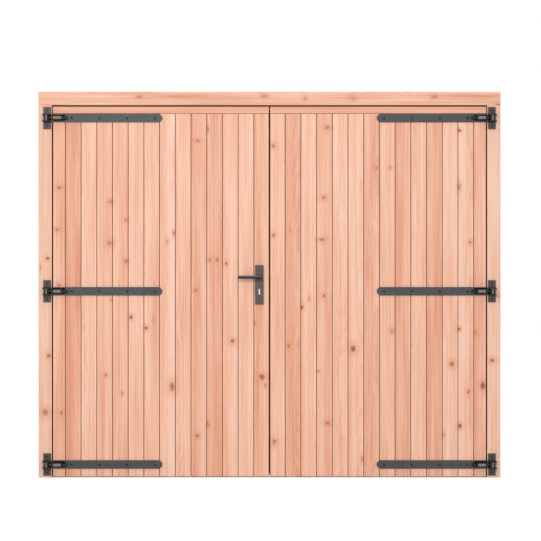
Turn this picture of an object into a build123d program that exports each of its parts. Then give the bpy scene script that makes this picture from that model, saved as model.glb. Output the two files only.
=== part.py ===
from build123d import *
import math
import os

# A pair of side-hung barn doors in their softwood frame, ready to be fixed in a wall.
# Millimetres. +X runs to the right seen from outside, +Y into the building and +Z up.
# The origin is on the floor, midway between the posts and at half the leaves' thickness.
# Every piece of a leaf is shaped on the right-hand side and mirrored for the left-hand one.

# Frame timbers
frame_width = 2550.0
frame_height = 2130.0
post_face = 75.0
head_face = 75.0
frame_depth = 90.0
stop_width = 15.0
stop_clearance = 1.5
arris = 2.0

# Air round the leaves
side_gap = 4.5
meeting_gap = 8.0
top_gap = 7.0
floor_gap = 8.0

# Boarding
board_thickness = 18.0
board_pitch = 86.7
meeting_board_width = 82.5
narrowest_board = 40.0
board_joint_gap = 0.6
board_chamfer = 2.5
tongue_thickness = 6.0
tongue_length = 6.0
tongue_clearance = 0.2
top_strip_height = 38.0
top_strip_thickness = 20.0
top_strip_joint = 2.0

# Framing behind the boards
framing_thickness = 45.0
stile_width = 95.0
rail_width = 95.0
brace_width = 95.0
tenon_thickness = 15.0
tenon_length = 15.0
tenon_shoulder = 15.0

# Hinges
pin_inset = 47.0
pin_standoff = 22.0
pin_radius = 7.0
pin_running_clearance = 0.08
pin_seat_clearance = 0.05
pin_head_radius = 10.0
pin_head_height = 4.0
pin_tail = 4.0
top_hinge_drop = 64.0
bottom_hinge_rise = 65.0
bracket_width = 42.0
bracket_height = 122.0
bracket_thickness = 5.0
bracket_offset = -1.0
ear_thickness = 6.0
ear_width = 47.0
ear_nose = 16.0
ear_nose_radius = 12.0
eye_radius = 15.0
eye_height = 27.4
eye_clearance = 0.3
shank_radius = 8.0
shank_clearance = 0.1
shank_reach = 116.0
shank_chamfer = 1.5
nut_width = 24.0
nut_thickness = 8.0
nut_start = 31.0
sleeve_length = 40.0
sleeve_radius = 12.5
saddle_height = 17.0
strap_height = 46.0
strap_thickness = 6.0
strap_length = 611.0
strap_root_offset = 25.0
strap_tip_length = 14.0
strap_nose_height = 14.0

# Fits between the pieces of a leaf, and the width of a small eased edge
fit_clearance = 0.1
eased_edge = 1.0

# Lock and lever handles, on the left-hand leaf
lever_height = 1106.0
lever_to_cylinder = 72.0
backset = 52.0
plate_width = 46.0
plate_height = 217.0
plate_thickness = 8.0
plate_above_lever = 66.5
plate_corner = 3.0
plate_edge = 1.5
neck_radius = 10.0
neck_clearance = 0.5
neck_length = 42.0
neck_seat = 2.0
lever_bar_height = 18.0
lever_bar_depth = 16.0
lever_bar_length = 135.0
lever_bar_overrun = 16.0
lever_bar_edge = 5.0
spindle_width = 8.0
spindle_depth_in_neck = 24.0
follower_radius = 12.0
cam_reach = 17.0
cam_width = 6.0
case_height = 165.0
case_above_lever = 45.0
case_depth = 75.0
case_thickness = 15.0
case_wall = 1.5
mortise_clearance = 0.3
forend_height = 235.0
forend_width = 20.0
forend_thickness = 3.0
forend_corner = 9.0
bolt_clearance = 0.5
latch_height = 24.0
latch_thickness = 11.0
latch_rise = 22.0
latch_projection = 12.0
latch_travel = 13.0
latch_grip = 8.0
latch_nose = 2.0
latch_lug_width = 5.0
latch_tail_height = 8.0
latch_tail_thickness = 6.0
dead_bolt_height = 36.0
dead_bolt_thickness = 11.0
dead_bolt_length = 50.0
dead_bolt_rise = 34.0
dead_bolt_travel = 20.0
keep_end_clearance = 4.0
cylinder_head_radius = 8.5
cylinder_web_width = 10.0
cylinder_height = 33.0
cylinder_proud = 3.0
plug_radius = 6.5
plug_clearance = 0.08
lock_cam_reach = 14.5
lock_cam_hub = 7.5
lock_cam_lobe = 8.0
lock_cam_width = 9.0
lock_cam_clearance = 0.8
keyway_width = 2.0
keyway_height = 8.0
keyway_depth = 6.0

# Strip behind the meeting gap, on the right-hand leaf
meeting_strip_thickness = 18.0
meeting_strip_lap = 23.0
meeting_strip_seat = 31.0
meeting_strip_relief = 1.0
meeting_strip_foot = 3.0
lip_clearance = 3.0

# Shoot bolts on the back of the right-hand leaf
shoot_bolt_inset = 68.0
shoot_bolt_radius = 6.0
shoot_bolt_clearance = 0.1
shoot_bolt_length = 230.0
shoot_bolt_travel = 25.0
guide_plate_width = 40.0
guide_plate_thickness = 3.0
guide_plate_edge = 6.0
staple_width = 24.0
staple_height = 14.0
staple_depth = 19.0
staple_gap = 2.0
staple_corner = 6.0
knob_radius = 5.0
knob_length = 24.0
head_bore_clearance = 0.8
head_bore_depth = 28.0

# Places worked out from the sizes above
half_width = frame_width / 2
opening_half_width = half_width - post_face
leaf_edge = opening_half_width - side_gap
meeting_edge = meeting_gap / 2
leaf_width = leaf_edge - meeting_edge
leaf_thickness = board_thickness + framing_thickness
front = -leaf_thickness / 2
back = leaf_thickness / 2
framing_front = front + board_thickness
framing_middle = (framing_front + back) / 2
frame_back = front + frame_depth
stop_face = back + stop_clearance
head_underside = frame_height - head_face
leaf_top = head_underside - top_gap
leaf_bottom = floor_gap
strip_bottom = leaf_top - top_strip_height
board_top = strip_bottom - top_strip_joint
hinge_stile_inner = leaf_edge - stile_width
meeting_stile_inner = meeting_edge + stile_width

pin_x = half_width - pin_inset
pin_y = front - pin_standoff
hinge_heights = {
    "upper": leaf_top - top_hinge_drop,
    "middle": (leaf_top - top_hinge_drop + leaf_bottom + bottom_hinge_rise) / 2,
    "lower": leaf_bottom + bottom_hinge_rise,
}
strap_root = pin_x - strap_root_offset
strap_tip = strap_root - strap_length
strap_face = front - strap_thickness
ear_inner = eye_height / 2 + eye_clearance
ear_outer = ear_inner + ear_thickness

spindle_x = meeting_edge + backset
cylinder_z = lever_height - lever_to_cylinder
plate_top = lever_height + plate_above_lever
plate_bottom = plate_top - plate_height
case_top = lever_height + case_above_lever
case_bottom = case_top - case_height
case_end = meeting_edge + case_depth
forend_middle = (case_top + case_bottom) / 2
forend_back = meeting_edge + forend_thickness
latch_z = lever_height + latch_rise
dead_bolt_z = cylinder_z + dead_bolt_rise
bolt_sections = [
    (latch_z, latch_height, latch_thickness),
    (dead_bolt_z, dead_bolt_height, dead_bolt_thickness),
]


def bar(x0, x1, y0, y1, z0, z1):
    """A squared timber or plate between two opposite corners."""
    middle = Pos((x0 + x1) / 2, (y0 + y1) / 2, (z0 + z1) / 2)
    return middle * Box(x1 - x0, y1 - y0, z1 - z0)


def rod(axis, start, end, place, radius):
    """A round bar along X, Y or Z from start to end, at place on the other two axes."""
    turn = {"x": Rot(0, 90, 0), "y": Rot(-90, 0, 0), "z": Rot(0, 0, 0)}[axis]
    middle = (start + end) / 2
    first, second = place
    spots = {"x": (middle, first, second), "y": (first, middle, second), "z": (first, second, middle)}
    return Pos(*spots[axis]) * turn * Cylinder(radius, abs(end - start))


def prism(points, height):
    """A vertical prism from a closed outline in the XY plane."""
    outline = make_face(Polyline(*points, close=True))
    return extrude(outline, amount=height, dir=(0, 0, 1))


def side_prism(points, y0, y1):
    """A plate between y0 and y1 from a closed outline of X and Z values."""
    outline = make_face(Polyline(*[(x, y0, z) for x, z in points], close=True))
    return extrude(outline, amount=y1 - y0, dir=(0, 1, 0))


def turned(points):
    """A turned piece from half its outline of radius and height, about Z."""
    outline = make_face(Polyline(*[(radius, 0, height) for radius, height in points], close=True))
    return revolve(outline, axis=Axis.Z)


def on_side(side, shape):
    """A shape made for the right-hand leaf, on the side asked for."""
    return shape if side == "right" else mirror(shape, about=Plane.YZ)


pieces = {}


def keep(name, *solids):
    """Put one piece, or a group of like pieces, on the list that is written out."""
    pieces[name] = list(solids)


# Frame: two rebated posts under a rebated head


def post_profile():
    """The post's section: a square timber with a rebate that makes the leaf's stop."""
    inner = opening_half_width
    outline = make_face(Polyline(
        (inner, front),
        (half_width, front),
        (half_width, frame_back),
        (inner - stop_width, frame_back),
        (inner - stop_width, stop_face),
        (inner, stop_face),
        close=True,
    ))
    corners = [v for v in outline.vertices() if abs(v.Y - stop_face) > 1 or abs(v.X - inner) > 1]
    return fillet(corners, arris)


def make_post():
    return extrude(post_profile(), amount=head_underside)


def make_head():
    beam = bar(-half_width, half_width, front, frame_back, head_underside, frame_height)
    beam = fillet(beam.edges().filter_by(Axis.X), arris)
    lip_end = opening_half_width - stop_width
    beam += bar(-lip_end, lip_end, stop_face, frame_back,
                head_underside - stop_width, head_underside + arris)
    bore_start = head_underside - stop_width
    bore = rod("z", bore_start - 1, bore_start + head_bore_depth, shoot_bolt_place(),
               shoot_bolt_radius + head_bore_clearance)
    return beam - bore


def shoot_bolt_place():
    """X and Y of the shoot bolts' shared axis."""
    return shoot_bolt_inset, back + guide_plate_thickness + staple_gap + shoot_bolt_radius


# Hinges: bracket on the post, pin, eye bolt, sleeve and strap


def make_bracket(z):
    """A wall plate with two ears that carry the pin."""
    x = pin_x + bracket_offset
    plate = bar(x - bracket_width / 2, x + bracket_width / 2, front - bracket_thickness, front,
                z - bracket_height / 2, z + bracket_height / 2)
    ear_outline = make_face(Polyline(
        (x - ear_width / 2 + 1, front - bracket_thickness),
        (x + ear_width / 2 + 1, front - bracket_thickness),
        (x + ear_width / 2 + 1, pin_y - ear_nose),
        (x - ear_width / 2 + 1, pin_y - ear_nose),
        close=True,
    ))
    nose = ear_outline.vertices().sort_by(Axis.Y)[:2]
    ear = extrude(fillet(nose, ear_nose_radius), amount=ear_thickness)
    bracket = plate + Pos(0, 0, z + ear_inner) * ear + Pos(0, 0, z - ear_outer) * ear
    bracket -= rod("z", z - ear_outer - 1, z + ear_outer + 1, (pin_x, pin_y),
                   pin_radius + pin_seat_clearance)
    return bracket


def make_pin(z):
    """A headed pin that hangs by its head on the upper ear."""
    top = z + ear_outer
    foot = z - ear_outer - pin_tail
    return Pos(pin_x, pin_y, 0) * turned([
        (0, top + pin_head_height),
        (pin_head_radius, top + pin_head_height),
        (pin_head_radius, top),
        (pin_radius, top),
        (pin_radius, foot),
        (0, foot),
    ])


def make_eye_bolt(z):
    """An eye that turns on the pin, with a shank that the sleeve holds."""
    eye = rod("z", z - eye_height / 2, z + eye_height / 2, (pin_x, pin_y), eye_radius)
    shank = rod("x", pin_x - shank_reach, pin_x - pin_radius, (pin_y, z), shank_radius)
    tip = shank.edges().filter_by(GeomType.CIRCLE).sort_by(Axis.X)[0]
    shank = chamfer(tip, shank_chamfer)
    bore = rod("z", z - eye_height, z + eye_height, (pin_x, pin_y), pin_radius + pin_running_clearance)
    return eye + shank - bore


def make_nuts(z):
    """The two lock nuts that clamp the sleeve on the shank."""
    nuts = []
    for start in (nut_start, nut_start + nut_thickness + sleeve_length):
        outline = Rot(0, 90, 0) * RegularPolygon(nut_width / 2, 6, major_radius=False)
        nut = extrude(outline, amount=nut_thickness, dir=(1, 0, 0))
        nut = Pos(pin_x - start - nut_thickness, pin_y, z) * nut
        nut -= rod("x", pin_x - start - nut_thickness - 1, pin_x - start + 1, (pin_y, z),
                   shank_radius + shank_clearance)
        nuts.append(nut)
    return nuts


def make_strap(z):
    """A flat strap with a blunt tip, and the sleeve welded on a saddle at its root."""
    half = strap_height / 2
    nose = strap_nose_height / 2
    strap = side_prism([
        (strap_root, z - half),
        (strap_root, z + half),
        (strap_tip + strap_tip_length, z + half),
        (strap_tip, z + nose),
        (strap_tip, z - nose),
        (strap_tip + strap_tip_length, z - half),
    ], strap_face, front)
    sleeve_end = pin_x - nut_start - nut_thickness
    sleeve_start = sleeve_end - sleeve_length
    sleeve = rod("x", sleeve_start, sleeve_end, (pin_y, z), sleeve_radius)
    saddle = bar(sleeve_start, sleeve_end, pin_y, strap_face,
                 z - saddle_height / 2, z + saddle_height / 2)
    strap = strap + saddle + sleeve
    strap -= rod("x", sleeve_start - 1, sleeve_end + 1, (pin_y, z), shank_radius + shank_clearance)
    return strap


# Leaf: tongued and grooved boards on stiles, rails and braces


def board_edges():
    """X of every joint between boards, from the meeting edge to the hinge edge."""
    whole = int((leaf_width - meeting_board_width - narrowest_board) // board_pitch)
    first = meeting_edge + meeting_board_width
    return [meeting_edge] + [first + k * board_pitch for k in range(whole + 1)] + [leaf_edge]


def board_outline(x0, x1, grooved, tongued):
    """One board's section: a groove towards the meeting edge and a tongue towards the hinges."""
    middle = front + board_thickness / 2
    rear = framing_front
    tongue = tongue_thickness / 2
    groove = tongue + tongue_clearance
    left = x0 + (board_joint_gap / 2 if grooved else 0)
    right = x1 - (board_joint_gap / 2 if tongued else 0)
    groove_floor = left + tongue_length + tongue_clearance * 2
    points = [
        (left + board_chamfer, front),
        (right - board_chamfer, front),
        (right, front + board_chamfer),
    ]
    if tongued:
        tip = right + board_joint_gap / 2 + tongue_length
        points += [
            (right, middle - tongue),
            (tip, middle - tongue),
            (tip, middle + tongue),
            (right, middle + tongue),
        ]
    points += [(right, rear), (left, rear)]
    if grooved:
        points += [
            (left, middle + groove),
            (groove_floor, middle + groove),
            (groove_floor, middle - groove),
            (left, middle - groove),
        ]
    points += [(left, front + board_chamfer)]
    return points


def make_boards():
    edges = board_edges()
    boards = []
    for k, (x0, x1) in enumerate(zip(edges[:-1], edges[1:])):
        outline = board_outline(x0, x1, grooved=k > 0, tongued=k < len(edges) - 2)
        boards.append(Pos(0, 0, leaf_bottom) * prism(outline, board_top - leaf_bottom))
    return boards


rail_heights = {
    "top": (leaf_top - rail_width, leaf_top),
    "middle": (hinge_heights["middle"] - rail_width / 2, hinge_heights["middle"] + rail_width / 2),
    "bottom": (leaf_bottom, leaf_bottom + rail_width),
}


def tenon(x0, x1, z0, z1, grow=0.0):
    """A stub tenon between two X values, in the middle of the framing's thickness."""
    half = tenon_thickness / 2 + grow
    return bar(x0, x1, framing_middle - half, framing_middle + half,
               z0 + tenon_shoulder - grow, z1 - tenon_shoulder + grow)


def make_rail(z0, z1):
    rail = bar(meeting_stile_inner, hinge_stile_inner, framing_front, back, z0, z1)
    rail += tenon(meeting_stile_inner - tenon_length, meeting_stile_inner, z0, z1)
    rail += tenon(hinge_stile_inner, hinge_stile_inner + tenon_length, z0, z1)
    return rail


def make_stile(x0, x1):
    stile = bar(x0, x1, framing_front, back, leaf_bottom, leaf_top)
    stile = fillet(stile.edges().filter_by(Axis.Z).group_by(Axis.Y)[-1], arris)
    for z0, z1 in rail_heights.values():
        if x0 < meeting_stile_inner:
            stile -= tenon(meeting_stile_inner - tenon_length - fit_clearance, meeting_stile_inner + 1,
                           z0, z1, fit_clearance)
        else:
            stile -= tenon(hinge_stile_inner - 1, hinge_stile_inner + tenon_length + fit_clearance,
                           z0, z1, fit_clearance)
    return stile


def make_brace(z0, z1):
    """A brace from the hinge side's foot to the meeting side's head, cut into both corners."""
    width = hinge_stile_inner - meeting_stile_inner
    height = z1 - z0
    angle = math.atan2(height, width)
    reach = math.hypot(width, height)
    middle = Pos((hinge_stile_inner + meeting_stile_inner) / 2, back, (z0 + z1) / 2)
    panel = Rectangle(width, height)
    strip = Rot(0, 0, -math.degrees(angle)) * Rectangle(reach * 1.2, brace_width)
    outline = middle * Rot(90, 0, 0) * (panel & strip)
    return extrude(outline, amount=framing_thickness, dir=(0, -1, 0))


def make_top_strip():
    strip = bar(meeting_edge, leaf_edge, framing_front - top_strip_thickness, framing_front,
                strip_bottom, leaf_top)
    return chamfer(strip.edges().filter_by(Axis.X).group_by(Axis.Y)[0], eased_edge)


# Lock and lever handles, shaped on the right and mirrored on to the left-hand leaf


def through_leaf(x, z, radius):
    return rod("y", front - 1, back + 1, (x, z), radius)


def cylinder_profile(grow=0.0):
    """The keyhole outline of the lock cylinder, round above and narrow below."""
    head = Circle(cylinder_head_radius + grow)
    foot = cylinder_height - cylinder_head_radius - cylinder_web_width / 2
    web = Pos(0, -foot / 2) * Rectangle(cylinder_web_width + 2 * grow, foot)
    heel = Pos(0, -foot) * Circle(cylinder_web_width / 2 + grow)
    return head + web + heel


def through_cylinder(y0, y1, grow=0.0):
    """The cylinder's outline carried through the leaf from y0 to y1."""
    outline = Pos(spindle_x, y1, cylinder_z) * Rot(90, 0, 0) * cylinder_profile(grow)
    return extrude(outline, amount=y1 - y0, dir=(0, -1, 0))


def lock_plate():
    """A long plate on the leaf's outside, with rounded corners and eased edges."""
    outline = Pos(spindle_x, front, (plate_top + plate_bottom) / 2) * Rot(90, 0, 0) * RectangleRounded(
        plate_width, plate_height, plate_corner)
    plate = extrude(outline, amount=plate_thickness, dir=(0, -1, 0))
    plate = chamfer(plate.faces().sort_by(Axis.Y)[0].edges(), plate_edge)
    plate -= rod("y", front - plate_thickness - 1, front + 1, (spindle_x, lever_height),
                 neck_radius + neck_clearance)
    plate -= through_cylinder(front - plate_thickness - 1, front + 1, fit_clearance)
    return plate


def lever():
    """The outside lever: a neck out of the plate and a flat grip that runs across the leaf."""
    neck_end = front - plate_thickness - neck_length
    neck = rod("y", neck_end + lever_bar_depth / 2, front - plate_thickness + neck_seat,
               (spindle_x, lever_height), neck_radius)
    grip = bar(spindle_x - lever_bar_overrun, spindle_x - lever_bar_overrun + lever_bar_length,
               neck_end, neck_end + lever_bar_depth,
               lever_height - lever_bar_height / 2, lever_height + lever_bar_height / 2)
    grip = fillet(grip.edges().filter_by(Axis.X), lever_bar_edge)
    ends = grip.edges().group_by(Axis.X)
    grip = chamfer(ends[0] + ends[-1], 1.5)
    socket = square_bar(front - plate_thickness - spindle_depth_in_neck, front)
    return neck + grip - socket


def square_bar(y0, y1):
    """A stretch of the square spindle."""
    half = spindle_width / 2
    return bar(spindle_x - half, spindle_x + half, y0, y1, lever_height - half, lever_height + half)


def make_spindle():
    """The square bar through the leaf, with the follower and its cam inside the lock."""
    reach = plate_thickness + spindle_depth_in_neck
    inside = case_thickness / 2 - case_wall - bolt_clearance
    follower = rod("y", framing_middle - inside, framing_middle + inside,
                   (spindle_x, lever_height), follower_radius)
    cam = bar(spindle_x - cam_width / 2, spindle_x + cam_width / 2, framing_middle - inside,
              framing_middle - latch_tail_thickness / 2, lever_height, lever_height + cam_reach)
    return square_bar(front - reach, back + reach) + follower + cam


def make_latch():
    """The spring latch: a bevelled head, and a tail with a lug that the follower's cam pushes."""
    half = latch_thickness / 2
    tip = meeting_edge - latch_projection
    root = forend_back + latch_travel + latch_grip
    head = prism([
        (root, framing_middle - half),
        (root, framing_middle + half),
        (meeting_edge, framing_middle + half),
        (tip + latch_nose, framing_middle - half + latch_nose),
        (tip, framing_middle - half),
    ], latch_height)
    head = Pos(0, 0, latch_z - latch_height / 2) * head
    lug_face = spindle_x + cam_width / 2 + bolt_clearance
    lug_back = lug_face + latch_lug_width
    tail_low = lever_height + cam_reach + 2 * bolt_clearance
    tail_high = tail_low + latch_tail_height
    lug_low = lever_height + follower_radius + bolt_clearance
    tail_back = framing_middle - latch_tail_thickness / 2
    tail = bar(root, lug_back, framing_middle - half, tail_back, tail_low, tail_high)
    lug = bar(lug_face, lug_back, framing_middle - half, tail_back, lug_low, tail_high)
    return head + tail + lug


def make_dead_bolt():
    half = dead_bolt_thickness / 2
    bolt = bar(meeting_edge, meeting_edge + dead_bolt_length,
               framing_middle - half, framing_middle + half,
               dead_bolt_z - dead_bolt_height / 2, dead_bolt_z + dead_bolt_height / 2)
    return chamfer(bolt.faces().sort_by(Axis.X)[0].edges(), eased_edge)


def bolt_window(z, height, thickness, x0, x1):
    """The opening that lets a bolt through a plate."""
    half_thickness = thickness / 2 + bolt_clearance
    half_height = height / 2 + bolt_clearance
    return bar(x0, x1, framing_middle - half_thickness, framing_middle + half_thickness,
               z - half_height, z + half_height)


def edge_plate():
    """The long plate let into a leaf's meeting edge, with windows for both bolts."""
    outline = Rot(0, -90, 0) * RectangleRounded(forend_height, forend_width, forend_corner)
    plate = Pos(forend_back, framing_middle, forend_middle) * extrude(
        outline, amount=forend_thickness, dir=(-1, 0, 0))
    for z, height, thickness in bolt_sections:
        plate -= bolt_window(z, height, thickness, meeting_edge - 1, forend_back + 1)
    return plate


def edge_plate_recess():
    """The room for the edge plate in a stile."""
    grow = mortise_clearance
    outline = Rot(0, -90, 0) * RectangleRounded(forend_height + grow, forend_width + grow, forend_corner)
    return Pos(forend_back, framing_middle, forend_middle) * extrude(
        outline, amount=forend_thickness + 1, dir=(-1, 0, 0))


def make_lock_case():
    """The mortise lock: the edge plate with a folded case behind it."""
    half = case_thickness / 2
    inside = half - case_wall
    case = bar(forend_back, case_end, framing_middle - half, framing_middle + half,
               case_bottom, case_top)
    case -= bar(forend_back - 1, case_end - case_wall, framing_middle - inside,
                framing_middle + inside, case_bottom + case_wall, case_top - case_wall)
    case -= rod("y", framing_middle - half - 1, framing_middle + half + 1,
                (spindle_x, lever_height), neck_radius)
    case -= through_cylinder(framing_middle - half - 1, framing_middle + half + 1, fit_clearance)
    return edge_plate() + case


def lock_mortise():
    """The room for the lock in the active leaf's meeting stile."""
    half = case_thickness / 2 + mortise_clearance
    room = bar(forend_back - 1, case_end + mortise_clearance,
               framing_middle - half, framing_middle + half,
               case_bottom - mortise_clearance, case_top + mortise_clearance)
    return room + edge_plate_recess()


def lock_bores(shape):
    """The holes for the spindle and the cylinder through boards or stile."""
    shape -= through_leaf(spindle_x, lever_height, neck_radius)
    shape -= through_cylinder(front - 1, back + 1, mortise_clearance)
    return shape


def keep_pockets():
    """The pockets behind the strike plate that take the latch and the dead bolt."""
    pockets = []
    for (z, height, thickness), reach in zip(bolt_sections, (latch_projection, dead_bolt_travel)):
        end = meeting_edge + reach - meeting_gap + keep_end_clearance
        pockets.append(bolt_window(z, height, thickness, forend_back - 1, end))
    return pockets[0] + pockets[1]


def make_cylinder_body():
    """The profile cylinder, bored for its plug and slotted for the cam."""
    reach = leaf_thickness / 2 + plate_thickness + cylinder_proud
    body = through_cylinder(-reach, reach)
    body -= rod("y", -reach - 1, reach + 1, (spindle_x, cylinder_z), plug_radius + plug_clearance)
    half_slot = lock_cam_width / 2 + lock_cam_clearance
    body -= bar(spindle_x - cylinder_head_radius - 1, spindle_x + cylinder_head_radius + 1,
                framing_middle - half_slot, framing_middle + half_slot,
                cylinder_z - lock_cam_reach - 2 * lock_cam_clearance, cylinder_z + cylinder_head_radius + 1)
    return body


def make_plug():
    """The turning plug with its keyways, and the cam that throws the dead bolt."""
    reach = leaf_thickness / 2 + plate_thickness + cylinder_proud
    plug = rod("y", -reach, reach, (spindle_x, cylinder_z), plug_radius)
    for side in (-1, 1):
        y0, y1 = sorted((side * (reach - keyway_depth), side * (reach + 1)))
        plug -= bar(spindle_x - keyway_width / 2, spindle_x + keyway_width / 2, y0, y1,
                    cylinder_z - keyway_height / 2, cylinder_z + keyway_height / 2)
    half = lock_cam_width / 2
    cam = rod("y", framing_middle - half, framing_middle + half, (spindle_x, cylinder_z), lock_cam_hub)
    lobe = bar(spindle_x - lock_cam_lobe / 2, spindle_x + lock_cam_lobe / 2,
               framing_middle - half, framing_middle + half, cylinder_z - lock_cam_reach, cylinder_z)
    return plug + cam + lobe


# Meeting strip and shoot bolts, on the back of the right-hand leaf

lip_underside = head_underside - stop_width
shoot_bolt_top = lip_underside - lip_clearance
shoot_bolt_bottom = leaf_bottom + lip_clearance


def make_meeting_strip():
    """The strip that closes the meeting gap from behind, eased off the active leaf."""
    return Pos(0, 0, leaf_bottom + meeting_strip_foot) * prism([
        (meeting_edge, back),
        (meeting_edge + meeting_strip_seat, back),
        (meeting_edge + meeting_strip_seat, back + meeting_strip_thickness),
        (meeting_edge - meeting_strip_lap, back + meeting_strip_thickness),
        (meeting_edge - meeting_strip_lap, back + meeting_strip_relief),
        (meeting_edge, back + meeting_strip_relief),
    ], lip_underside - lip_clearance - leaf_bottom - meeting_strip_foot)


def guide_span(end_z, direction):
    """Low and high Z of a guide plate whose bolt's nose rests at end_z."""
    near = end_z - direction * (staple_height + guide_plate_edge)
    far = end_z - direction * (shoot_bolt_length - guide_plate_edge)
    return min(near, far), max(near, far)


def staple_heights(end_z, direction):
    """Middle Z of the two staples on a guide plate, the one at the nose first."""
    low, high = guide_span(end_z, direction)
    step = guide_plate_edge + staple_height / 2
    return (high - step, low + step) if direction > 0 else (low + step, high - step)


def make_bolt_guide(end_z, direction):
    """A plate with two bored staples."""
    x, y = shoot_bolt_place()
    low, high = guide_span(end_z, direction)
    plate_face = back + guide_plate_thickness
    guide = bar(x - guide_plate_width / 2, x + guide_plate_width / 2, back, plate_face, low, high)
    for z in staple_heights(end_z, direction):
        staple = bar(x - staple_width / 2, x + staple_width / 2, plate_face, plate_face + staple_depth,
                     z - staple_height / 2, z + staple_height / 2)
        guide += fillet(staple.edges().filter_by(Axis.Z).group_by(Axis.Y)[-1], staple_corner)
    return guide - rod("z", low - 1, high + 1, (x, y), shoot_bolt_radius + shoot_bolt_clearance)


def make_shoot_bolt(end_z, direction):
    """A round bolt with a knob that stands between its staples."""
    x, y = shoot_bolt_place()
    start, end = sorted((end_z, end_z - direction * shoot_bolt_length))
    bolt = rod("z", start, end, (x, y), shoot_bolt_radius)
    nose = bolt.edges().filter_by(GeomType.CIRCLE).sort_by(Axis.Z)[-1 if direction > 0 else 0]
    bolt = chamfer(nose, shank_chamfer)
    near, far = staple_heights(end_z, direction)
    knob_z = near - direction * (staple_height / 2 + shoot_bolt_travel + knob_radius + lip_clearance)
    knob = rod("y", y, y + shoot_bolt_radius + knob_length, (x, knob_z), knob_radius)
    return bolt + knob


# Everything in place

keep("left_post", on_side("left", make_post()))
keep("right_post", make_post())
keep("head_beam", make_head())

hinge_pins = []
for side in ("left", "right"):
    for place, z in hinge_heights.items():
        keep(f"{side}_{place}_bracket", on_side(side, make_bracket(z)))
        hinge_pins.append(on_side(side, make_pin(z)))
keep("hinge_pins", *hinge_pins)

for side in ("left", "right"):
    active = side == "left"
    boards = make_boards()
    if active:
        boards = [lock_bores(boards[0])] + boards[1:]
    keep(f"{side}_boards", *[on_side(side, board) for board in boards])
    keep(f"{side}_top_strip", on_side(side, make_top_strip()))
    keep(f"{side}_hinge_stile", on_side(side, make_stile(hinge_stile_inner, leaf_edge)))
    meeting_stile = make_stile(meeting_edge, meeting_stile_inner)
    if active:
        meeting_stile = lock_bores(meeting_stile - lock_mortise())
    else:
        meeting_stile = meeting_stile - edge_plate_recess() - keep_pockets()
    keep(f"{side}_meeting_stile", on_side(side, meeting_stile))
    for place, (z0, z1) in rail_heights.items():
        keep(f"{side}_{place}_rail", on_side(side, make_rail(z0, z1)))
    for place, below, above in (("upper", "middle", "top"), ("lower", "bottom", "middle")):
        brace = make_brace(rail_heights[below][1], rail_heights[above][0])
        keep(f"{side}_{place}_brace", on_side(side, brace))
    eye_bolts = []
    nuts = []
    for place, z in hinge_heights.items():
        keep(f"{side}_{place}_strap", on_side(side, make_strap(z)))
        eye_bolts.append(on_side(side, make_eye_bolt(z)))
        nuts += [on_side(side, nut) for nut in make_nuts(z)]
    keep(f"{side}_eye_bolts", *eye_bolts)
    keep(f"{side}_lock_nuts", *nuts)

keep("lock_case", on_side("left", make_lock_case()))
keep("outer_plate", on_side("left", lock_plate()))
keep("inner_plate", on_side("left", mirror(lock_plate(), about=Plane.XZ)))
keep("outer_lever", on_side("left", lever()))
keep("inner_lever", on_side("left", mirror(lever(), about=Plane.XZ)))
keep("spindle", on_side("left", make_spindle()))
keep("latch_bolt", on_side("left", make_latch()))
keep("dead_bolt", on_side("left", make_dead_bolt()))
keep("cylinder_body", on_side("left", make_cylinder_body()))
keep("cylinder_plug", on_side("left", make_plug()))

keep("strike_plate", edge_plate())
keep("meeting_strip", make_meeting_strip())
for place, end_z, direction in (("upper", shoot_bolt_top, 1), ("lower", shoot_bolt_bottom, -1)):
    keep(f"{place}_bolt_guide", make_bolt_guide(end_z, direction))
    keep(f"{place}_shoot_bolt", make_shoot_bolt(end_z, direction))

os.makedirs("parts", exist_ok=True)
for name, solids in pieces.items():
    shape = solids[0] if len(solids) == 1 else Compound(children=solids)
    export_step(shape, f"parts/{name}.step")
print(len(pieces), "pieces written")
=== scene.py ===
import bpy
import bmesh
import math
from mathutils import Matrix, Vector


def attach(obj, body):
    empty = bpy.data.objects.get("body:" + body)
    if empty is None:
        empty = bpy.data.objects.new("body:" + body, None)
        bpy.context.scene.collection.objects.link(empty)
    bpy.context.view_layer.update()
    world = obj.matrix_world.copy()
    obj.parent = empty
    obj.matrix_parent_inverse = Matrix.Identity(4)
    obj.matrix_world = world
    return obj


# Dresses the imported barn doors: fir boards and posts, powder-coated ironwork, a satin lock cylinder
# and zinc-plated shoot bolts, photographed straight on against white.
# Metres. +X runs to the right seen from outside, +Y into the building and +Z up.

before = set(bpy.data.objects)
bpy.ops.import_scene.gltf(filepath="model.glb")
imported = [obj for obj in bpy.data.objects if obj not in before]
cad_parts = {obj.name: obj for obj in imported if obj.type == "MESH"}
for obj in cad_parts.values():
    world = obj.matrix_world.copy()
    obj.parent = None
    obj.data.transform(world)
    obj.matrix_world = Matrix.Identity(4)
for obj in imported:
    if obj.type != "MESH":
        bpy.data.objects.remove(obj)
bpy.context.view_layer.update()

MM = 0.001

# Sizes repeated from the doors' solids
FRONT = -31.5 * MM
BOARD_PITCH = 86.7 * MM
FIRST_JOINT = 86.5 * MM
LEAF_EDGE = 1195.5 * MM
MEETING_EDGE = 4.0 * MM
HEAD_UNDERSIDE = 2055.0 * MM
POST_EDGE = 1200.0 * MM
LEAF_TOP = 2048.0 * MM

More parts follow.
